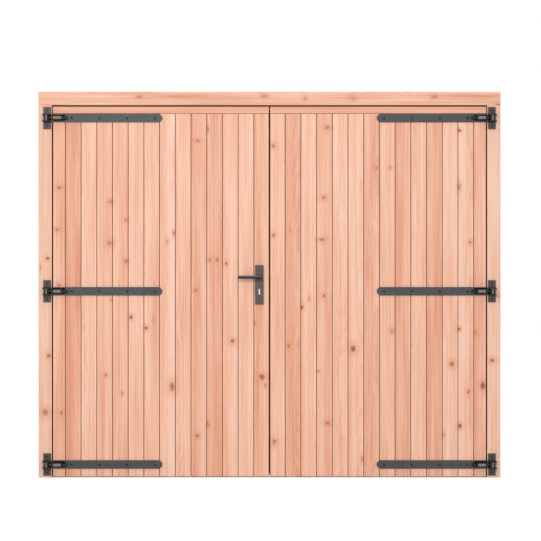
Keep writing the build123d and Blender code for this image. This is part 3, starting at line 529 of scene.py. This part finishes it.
def screw_growth():
    """Domed screw heads with a cross recess, one at each vertex, each turned by chance about its axis."""
    tree, source, output = new_growth("screw heads", [
        ("Head radius", "Float", 0.0055), ("Head height", "Float", 0.0026), ("Dome", "Float", 0.0008),
        ("Recess reach", "Float", 0.0035), ("Recess width", "Float", 0.0011), ("Facing", "Rotation", None),
        ("Seed", "Int", 0), ("Material", "Material", None)])
    head = add_node(tree, "GeometryNodeMeshCylinder", {"Vertices": 20, "Side Segments": 1,
                                                       "Fill Segments": 4},
                    Radius=source.outputs["Head radius"], Depth=source.outputs["Head height"])
    spot = add_node(tree, "GeometryNodeInputPosition")
    axes = add_node(tree, "ShaderNodeSeparateXYZ", i0=spot.outputs[0])
    flat = add_node(tree, "ShaderNodeCombineXYZ", i0=axes.outputs["X"], i1=axes.outputs["Y"])
    reach = add_node(tree, "ShaderNodeVectorMath", {"operation": "LENGTH"}, i0=flat.outputs[0])
    share = add_node(tree, "ShaderNodeMath", {"operation": "DIVIDE"}, i0=reach.outputs["Value"],
                     i1=source.outputs["Head radius"])
    squared = add_node(tree, "ShaderNodeMath", {"operation": "POWER", 1: 2.0}, i0=share.outputs[0])
    left_over = add_node(tree, "ShaderNodeMath", {"operation": "SUBTRACT", 0: 1.0}, i1=squared.outputs[0])
    lift = add_node(tree, "ShaderNodeMath", {"operation": "MULTIPLY"}, i0=left_over.outputs[0],
                    i1=source.outputs["Dome"])
    upper = add_node(tree, "FunctionNodeCompare", {"operation": "GREATER_THAN", 1: 0.0}, i0=axes.outputs["Z"])
    rise = add_node(tree, "ShaderNodeCombineXYZ", i2=lift.outputs[0])
    domed = add_node(tree, "GeometryNodeSetPosition", Geometry=head.outputs["Mesh"],
                     Selection=upper.outputs[0], Offset=rise.outputs[0])
    deep = add_node(tree, "ShaderNodeMath", {"operation": "MULTIPLY", 1: 1.1},
                    i0=source.outputs["Head height"])
    arms = []
    raised = add_node(tree, "ShaderNodeCombineXYZ", i2=deep.outputs[0])
    for across, along in (("Recess reach", "Recess width"), ("Recess width", "Recess reach")):
        wide = add_node(tree, "ShaderNodeMath", {"operation": "MULTIPLY", 1: 2.0}, i0=source.outputs[across])
        long = add_node(tree, "ShaderNodeMath", {"operation": "MULTIPLY", 1: 2.0}, i0=source.outputs[along])
        size = add_node(tree, "ShaderNodeCombineXYZ", i0=wide.outputs[0], i1=long.outputs[0],
                        i2=deep.outputs[0])
        arm = add_node(tree, "GeometryNodeMeshCube", Size=size.outputs[0])
        arms.append(add_node(tree, "GeometryNodeTransform", Geometry=arm.outputs["Mesh"],
                             Translation=raised.outputs[0]))
    cut = domed
    for arm in arms:
        cut = add_node(tree, "GeometryNodeMeshBoolean", {"operation": "DIFFERENCE", "solver": "EXACT"},
                       i0=cut.outputs[0], i1=arm.outputs[0])
    chance = add_node(tree, "FunctionNodeRandomValue", {"data_type": "FLOAT", 2: 0.0, 3: 3.1},
                      Seed=source.outputs["Seed"])
    spin = add_node(tree, "ShaderNodeCombineXYZ", i2=chance.outputs[1])
    spun = add_node(tree, "FunctionNodeEulerToRotation", i0=spin.outputs[0])
    facing = add_node(tree, "FunctionNodeRotateRotation", {"rotation_space": "LOCAL"},
                      i0=source.outputs["Facing"], i1=spun.outputs[0])
    heads = add_node(tree, "GeometryNodeInstanceOnPoints", Points=source.outputs["Geometry"],
                     Instance=cut.outputs[0], Rotation=facing.outputs[0])
    finish_growth(tree, source, output, heads.outputs[0])
    return tree


def seal_growth():
    """A soft strip with rounded corners, laid along a path of edges."""
    tree, source, output = new_growth("draught seal", [
        ("Width", "Float", 0.009), ("Thickness", "Float", 0.0012), ("Material", "Material", None)])
    path = add_node(tree, "GeometryNodeMeshToCurve", Mesh=source.outputs["Geometry"])
    outline = add_node(tree, "GeometryNodeCurvePrimitiveQuadrilateral", Width=source.outputs["Width"],
                       Height=source.outputs["Thickness"])
    thinner = add_node(tree, "ShaderNodeMath", {"operation": "MINIMUM"}, i0=source.outputs["Width"],
                       i1=source.outputs["Thickness"])
    edge = add_node(tree, "ShaderNodeMath", {"operation": "MULTIPLY", 1: 0.4}, i0=thinner.outputs[0])
    rounded = add_node(tree, "GeometryNodeFilletCurve", {"mode": "POLY", "Count": 3},
                       Curve=outline.outputs[0], Radius=edge.outputs[0])
    strip = add_node(tree, "GeometryNodeCurveToMesh", {"Fill Caps": True}, Curve=path.outputs[0],
                     i1=rounded.outputs[0])
    finish_growth(tree, source, output, strip.outputs[0])
    return tree


def weld_growth():
    """A weld bead: overlapping drops along a path of edges."""
    tree, source, output = new_growth("weld bead", [
        ("Drop radius", "Float", 0.0022), ("Step", "Float", 0.0024), ("Material", "Material", None)])
    path = add_node(tree, "GeometryNodeMeshToCurve", Mesh=source.outputs["Geometry"])
    steps = add_node(tree, "GeometryNodeResampleCurve", {"mode": "LENGTH"}, Curve=path.outputs[0],
                     Length=source.outputs["Step"])
    drop = add_node(tree, "GeometryNodeMeshUVSphere", {"Segments": 10, "Rings": 6},
                    Radius=source.outputs["Drop radius"])
    beads = add_node(tree, "GeometryNodeInstanceOnPoints", Points=steps.outputs[0],
                     Instance=drop.outputs["Mesh"])
    finish_growth(tree, source, output, beads.outputs[0])
    return tree


def brush_growth():
    """A brush strip's fibres: thin cones hung from a path, tilted a little by chance."""
    tree, source, output = new_growth("brush strip", [
        ("Fibre length", "Float", 0.0066), ("Fibre radius", "Float", 0.0005), ("Step", "Float", 0.0017),
        ("Seed", "Int", 0), ("Material", "Material", None)])
    path = add_node(tree, "GeometryNodeMeshToCurve", Mesh=source.outputs["Geometry"])
    steps = add_node(tree, "GeometryNodeResampleCurve", {"mode": "LENGTH"}, Curve=path.outputs[0],
                     Length=source.outputs["Step"])
    fibre = add_node(tree, "GeometryNodeMeshCone", {"Vertices": 4}, i3=source.outputs["Fibre radius"],
                     i4=source.outputs["Fibre radius"], Depth=source.outputs["Fibre length"])
    tilt = add_node(tree, "FunctionNodeRandomValue", {"data_type": "FLOAT_VECTOR", 0: (3.02, -0.1, 0.0),
                                                      1: (3.26, 0.1, 3.0)}, Seed=source.outputs["Seed"])
    hung = add_node(tree, "GeometryNodeInstanceOnPoints", Points=steps.outputs[0],
                    Instance=fibre.outputs["Mesh"], Rotation=tilt.outputs[0])
    finish_growth(tree, source, output, hung.outputs[0])
    return tree


def thread_growth():
    """The rolled thread on a shank: a three-sided ridge wound along X from each vertex."""
    tree, source, output = new_growth("rolled thread", [
        ("Radius", "Float", 0.0079), ("Length", "Float", 0.026), ("Pitch", "Float", 0.002),
        ("Ridge", "Float", 0.0007), ("Material", "Material", None)])
    turns = add_node(tree, "ShaderNodeMath", {"operation": "DIVIDE"}, i0=source.outputs["Length"],
                     i1=source.outputs["Pitch"])
    helix = add_node(tree, "GeometryNodeCurveSpiral", {"Resolution": 20}, Rotations=turns.outputs[0],
                     Height=source.outputs["Length"])
    for end in ("Start Radius", "End Radius"):
        tree.links.new(source.outputs["Radius"], helix.inputs[end])
    ridge = add_node(tree, "GeometryNodeCurvePrimitiveCircle", {"Resolution": 3},
                     Radius=source.outputs["Ridge"])
    wound = add_node(tree, "GeometryNodeCurveToMesh", {"Fill Caps": True}, Curve=helix.outputs[0],
                     i1=ridge.outputs[0])
    laid = add_node(tree, "GeometryNodeTransform", {"Rotation": (0.0, math.pi / 2, 0.0)},
                    Geometry=wound.outputs[0])
    threads = add_node(tree, "GeometryNodeInstanceOnPoints", Points=source.outputs["Geometry"],
                       Instance=laid.outputs[0])
    finish_growth(tree, source, output, threads.outputs[0])
    return tree


def add_piece(name, mesh, body):
    """Put a finished mesh into the scene as a piece that moves with a body."""
    piece = bpy.data.objects.new(name, mesh)
    bpy.context.scene.collection.objects.link(piece)
    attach(piece, body)


def grow(name, tree, points, edges, body, slot, smooth=False, **inputs):
    """Run a growth on points and edges in millimetres and leave one plain mesh on its body."""
    seed_mesh = bpy.data.meshes.new(name)
    seed_mesh.from_pydata([tuple(v * MM for v in point) for point in points], edges, [])
    seed = bpy.data.objects.new(name + "_path", seed_mesh)
    bpy.context.scene.collection.objects.link(seed)
    growth = seed.modifiers.new("growth", "NODES")
    growth.node_group = tree
    for item in tree.interface.items_tree:
        label = item.name.replace(" ", "_")
        if item.in_out == "INPUT" and label in inputs:
            growth[item.identifier] = inputs[label]
    ready = seed.evaluated_get(bpy.context.evaluated_depsgraph_get())
    mesh = bpy.data.meshes.new_from_object(ready)
    mesh.name = name
    bpy.data.objects.remove(seed)
    if smooth:
        mesh.shade_smooth()
    add_piece(name, mesh, body)


screws = screw_growth()
seals = seal_growth()
welds = weld_growth()
threads = thread_growth()
brushes = brush_growth()
OUTWARD = (math.pi / 2, 0.0, 0.0)
INWARD = (-math.pi / 2, 0.0, 0.0)
UPWARD = (0.0, 0.0, 0.0)


def line(x0, y0, z0, x1, y1, z1):
    """Two points for one straight run of a path."""
    return [(x0, y0, z0), (x1, y1, z1)]


def runs(pairs):
    """Points and edges of several separate straight runs."""
    points = [point for pair in pairs for point in pair]
    return points, [(k, k + 1) for k in range(0, len(points), 2)]


def black_shade_pad(side, sign):
    """A thin black pad with round corners between each strap and its sleeve, standing in for the shade under
    the sleeve.
    """
    form = bmesh.new()
    inner, outer, corner, half_height, rise = 1128.0, 1202.0, 6.0, 16.0, 2.0
    front_face, back_face = -38.3, -37.5
    left, right = inner + corner, outer - corner
    for z in HINGE_HEIGHTS:
        high = z + rise + half_height - corner
        low = z + rise - half_height + corner
        outline = []
        for cx, cz, start in ((right, high, 0), (left, high, 90), (left, low, 180), (right, low, 270)):
            for step in range(7):
                turn = math.radians(start + 15 * step)
                outline.append(((cx + corner * math.cos(turn)) * sign, cz + corner * math.sin(turn)))
        front = [form.verts.new((x * MM, front_face * MM, h * MM)) for x, h in outline]
        back = [form.verts.new((x * MM, back_face * MM, h * MM)) for x, h in outline]
        form.faces.new(front)
        form.faces.new(back[::-1])
        for k in range(len(front)):
            form.faces.new((front[k], front[k - 1], back[k - 1], back[k]))
    bmesh.ops.recalc_face_normals(form, faces=form.faces)
    mesh = bpy.data.meshes.new(f"{side}_sleeve_pads")
    form.to_mesh(mesh)
    form.free()
    mesh.materials.append(black_shade_rubber)
    add_piece(f"{side}_sleeve_pads", mesh, f"{side}_leaf")


def hinge_fastenings(side, sign):
    """Strap screws, bracket screws, weld beads and threads of the three hinges on one side."""
    strap_face, strap_screws_across = -38.4, (632.0, 785.0, 938.0, 1091.0)
    strap_spots = [(sign * x, strap_face, z - 1.0) for z in HINGE_HEIGHTS for x in strap_screws_across]
    grow(f"{side}_strap_screws", screws, strap_spots, [], f"{side}_leaf", "black_steel", Head_radius=0.0062,
         Head_height=0.0026, Dome=0.0014, Recess_reach=0.0042, Recess_width=0.0013, Facing=OUTWARD, Seed=3,
         Material=black_screws)
    bracket_face, bracket_middle = -37.1, 1227.0
    bracket_spots = [(sign * bracket_middle, bracket_face, z + rise) for z in HINGE_HEIGHTS
                     for rise in (-44.0, 44.0)]
    grow(f"{side}_bracket_screws", screws, bracket_spots, [], "frame", "black_steel", Head_radius=0.006,
         Head_height=0.0016, Dome=0.0005, Recess_reach=0.0042, Recess_width=0.0013, Facing=OUTWARD, Seed=5,
         Material=black_screws)
    # A bead along each side of the sleeve, and one along the foot of each of the bracket's ears; the beads
    # take the bolts' near black, which also stands in for the shade along the sleeve and the ears
    saddle = []
    ears = []
    for z in HINGE_HEIGHTS:
        for edge in (-8.5, 8.5):
            saddle.append(line(sign * 1150.0, -37.9, z + edge, sign * 1188.0, -37.9, z + edge))
        for edge in (-20.0, 20.0):
            ears.append(line(sign * 1206.5, -36.9, z + edge, sign * 1247.0, -36.9, z + edge))
    points, edges = runs(saddle)
    grow(f"{side}_strap_welds", welds, points, edges, f"{side}_leaf", "black_steel", smooth=True,
         Drop_radius=0.0026, Step=0.0028, Material=black_bolts)
    points, edges = runs(ears)
    grow(f"{side}_bracket_welds", welds, points, edges, "frame", "black_steel", smooth=True,
         Drop_radius=0.0019, Step=0.0022, Material=black_bolts)
    # A thread is wound towards +X, so it starts at the end of the shank that lies further to the left
    shank_start, thread_length, bolt_depth = 1113.5, 25.5, -53.5
    start = shank_start if sign > 0 else -shank_start - thread_length
    grow(f"{side}_eye_bolt_threads", threads, [(start, bolt_depth, z) for z in HINGE_HEIGHTS], [],
         f"{side}_leaf", "black_steel", Radius=0.0079, Length=thread_length * MM, Pitch=0.002, Ridge=0.0007,
         Material=black_bolts)


def board_fixings(side, sign):
    """Screws through the rails and braces into each board, seen from inside."""
    boards = [sign * (FIRST_JOINT + BOARD_PITCH * (k + 0.5)) / MM for k in range(12)]
    inside_face, from_rail_edge, stagger = 31.7, 24.0, 14.0
    spots = []
    for low, high in (TOP_RAIL, MIDDLE_RAIL, BOTTOM_RAIL):
        for x in boards:
            spots += [(x, inside_face, low + from_rail_edge),
                      (x + stagger, inside_face, high - from_rail_edge)]
    for lower_rail, upper_rail in ((MIDDLE_RAIL, TOP_RAIL), (BOTTOM_RAIL, MIDDLE_RAIL)):
        low, high = lower_rail[1], upper_rail[0]
        for x in boards:
            share = (BRACE_OUTER - abs(x)) / (BRACE_OUTER - BRACE_INNER)
            if 0.06 < share < 0.94:
                spots.append((x, inside_face, low + (high - low) * share))
    grow(f"{side}_board_fixings", screws, spots, [], f"{side}_leaf", "zinc_steel", Head_radius=0.0042,
         Head_height=0.0008, Dome=0.0003, Recess_reach=0.0028, Recess_width=0.0009, Facing=INWARD, Seed=11,
         Material=zinc_plate)


for side, sign in (("left", -1), ("right", 1)):
    hinge_fastenings(side, sign)
    black_shade_pad(side, sign)
    board_fixings(side, sign)
grow("head_corner_screws", screws, [(sign * 1237.5, y, 2129.6) for sign in (-1, 1) for y in (-6.5, 45.5)], [],
     "frame", "zinc_steel", Head_radius=0.008, Head_height=0.001, Dome=0.0003, Recess_reach=0.0048,
     Recess_width=0.0014, Facing=UPWARD, Seed=2, Material=zinc_plate)
grow("inner_plate_screws", screws, [(-56.0, 39.9, z) for z in (969.5, 1158.5)], [], "left_leaf", "zinc_steel",
     Head_radius=0.0045, Head_height=0.0012, Dome=0.0006, Recess_reach=0.003, Recess_width=0.0009,
     Facing=INWARD, Seed=4, Material=black_screws)

# The stop's seals run up both posts and under the head; the meeting seal fills the gap behind the leaves.
# Their red-brown is partly the rubber's own and partly painted shade: it stands in for the shade in the gaps
SEAL_Y = 32.35
grow("stop_seals", seals, *runs([line(-1199.0, SEAL_Y, 6.0, -1199.0, SEAL_Y, 2054.0),
                                 line(1199.0, SEAL_Y, 6.0, 1199.0, SEAL_Y, 2054.0)]),
     "frame", "black_steel", Width=0.0013, Thickness=0.010, Material=seal_and_gap_shade)
grow("head_seal", seals, *runs([line(-1192.0, 30.3, 2050.5, 1192.0, 30.3, 2050.5)]), "frame", "black_steel",
     Width=0.006, Thickness=0.0013, Material=seal_and_gap_shade)
# The brush seals under the leaves are partly painted shade: their dark brown stands in for the shade under
# the leaves
for side, sign in (("left", -1), ("right", 1)):
    grow(f"{side}_foot_brush", brushes, *runs([line(sign * 6.0, y, 8.2, sign * 1194.0, y, 8.2)
                                               for y in (-21.0, -19.5)]),
         f"{side}_leaf", "black_steel", Fibre_length=0.0074, Fibre_radius=0.0006, Step=0.0023, Seed=6,
         Material=brush_and_foot_shade)
grow("meeting_seal", seals, *runs([line(0.0, 28.9, 20.5, 0.0, 28.9, 2036.0)]), "right_leaf", "black_steel",
     Width=0.0058, Thickness=0.0068, Material=seal_and_gap_shade)


def gap_foot():
    """A small fir packer with eased edges, glued to the right leaf, closes the foot of the meeting gap."""
    form = bmesh.new()
    bmesh.ops.create_cube(form, size=1.0)
    low, high = (-2.9, -30.6, 8.3), (4.0, -16.0, 20.0)
    for corner in form.verts:
        corner.co = Vector([(high if v > 0 else low)[k] * MM for k, v in enumerate(corner.co)])
    bmesh.ops.bevel(form, geom=form.edges[:], offset=0.5 * MM, segments=2, affect="EDGES", profile=0.5)
    mesh = bpy.data.meshes.new("gap_foot_packer")
    form.to_mesh(mesh)
    form.free()
    mesh.materials.append(fir_packer)
    add_piece("gap_foot_packer", mesh, "right_leaf")


gap_foot()


# Studio: a pale floor, white surroundings, one broad soft lamp above the camera

def seen_straight(tree):
    """1 for what the camera sees directly or mirrored, and 0 for the light that falls on things."""
    path = add_node(tree, "ShaderNodeLightPath")
    seen = path.outputs["Is Camera Ray"]
    for ray in ("Is Glossy Ray", "Is Transmission Ray"):
        seen = add_node(tree, "ShaderNodeMath", {"operation": "MAXIMUM"}, i0=seen,
                        i1=path.outputs[ray]).outputs[0]
    return seen


def studio_floor():
    """A pale floor that is white to the camera where nothing shades it and keeps the doors' shadow."""
    mesh = bpy.data.meshes.new("studio_floor")
    mesh.from_pydata([(-20, -20, 0), (20, -20, 0), (20, 20, 0), (-20, 20, 0)], [], [(0, 1, 2, 3)])
    floor = bpy.data.objects.new("studio_floor", mesh)
    bpy.context.scene.collection.objects.link(floor)
    material, tree, shader = new_material("pale studio floor", Roughness=0.9, IOR=1.45)
    shader.inputs["Base Color"].default_value = linear("E2E0DC")
    shader.inputs["Specular IOR Level"].default_value = 0.0
    lift = add_node(tree, "ShaderNodeMath", {"operation": "MULTIPLY", 1: 0.5}, i0=seen_straight(tree))
    shader.inputs["Emission Color"].default_value = (1.0, 1.0, 1.0, 1.0)
    tree.links.new(lift.outputs[0], shader.inputs["Emission Strength"])
    mesh.materials.append(material)


def studio_world():
    """White to the camera and to reflections, and a plain soft fill on everything else."""
    world = bpy.data.worlds.new("white studio")
    bpy.context.scene.world = world
    world.use_nodes = True
    tree = world.node_tree
    background = tree.nodes["Background"]
    background.inputs["Color"].default_value = (1.0, 1.0, 1.0, 1.0)
    fill, white = 0.81, 1.0
    strength = add_node(tree, "ShaderNodeMapRange", {1: 0.0, 2: 1.0, 3: fill, 4: white},
                        i0=seen_straight(tree))
    tree.links.new(strength.outputs[0], background.inputs["Strength"])


def soft_lamp(name, place, target, size, power):
    """A rectangular lamp that looks at a point; size is its width and height, power is in watts."""
    lamp = bpy.data.lights.new(name, "AREA")
    lamp.shape = "RECTANGLE"
    lamp.size, lamp.size_y = size
    lamp.energy = power
    holder = bpy.data.objects.new(name, lamp)
    holder.location = place
    holder.rotation_euler = (Vector(target) - Vector(place)).to_track_quat("-Z", "Y").to_euler()
    bpy.context.scene.collection.objects.link(holder)


def straight_on_camera():
    """The photograph's view: level and square to the doors, through a long lens."""
    camera = bpy.data.cameras.new("camera")
    camera.lens = 100.0
    camera.sensor_width = 36.0
    camera.clip_end = 100.0
    holder = bpy.data.objects.new("camera", camera)
    width_in_view = 2.986
    aim_across, aim_height = 0.0055, 1.143
    holder.location = (aim_across, FRONT - width_in_view * camera.lens / camera.sensor_width, aim_height)
    holder.rotation_euler = (math.pi / 2, 0.0, 0.0)
    bpy.context.scene.collection.objects.link(holder)
    bpy.context.scene.camera = holder


studio_floor()
studio_world()
soft_lamp("front lamp", (-1.8, -9.5, 4.6), (0.0, 0.0, 0.6), (3.5, 2.2), 320.0)
straight_on_camera()
bpy.context.scene.view_settings.view_transform = "Standard"
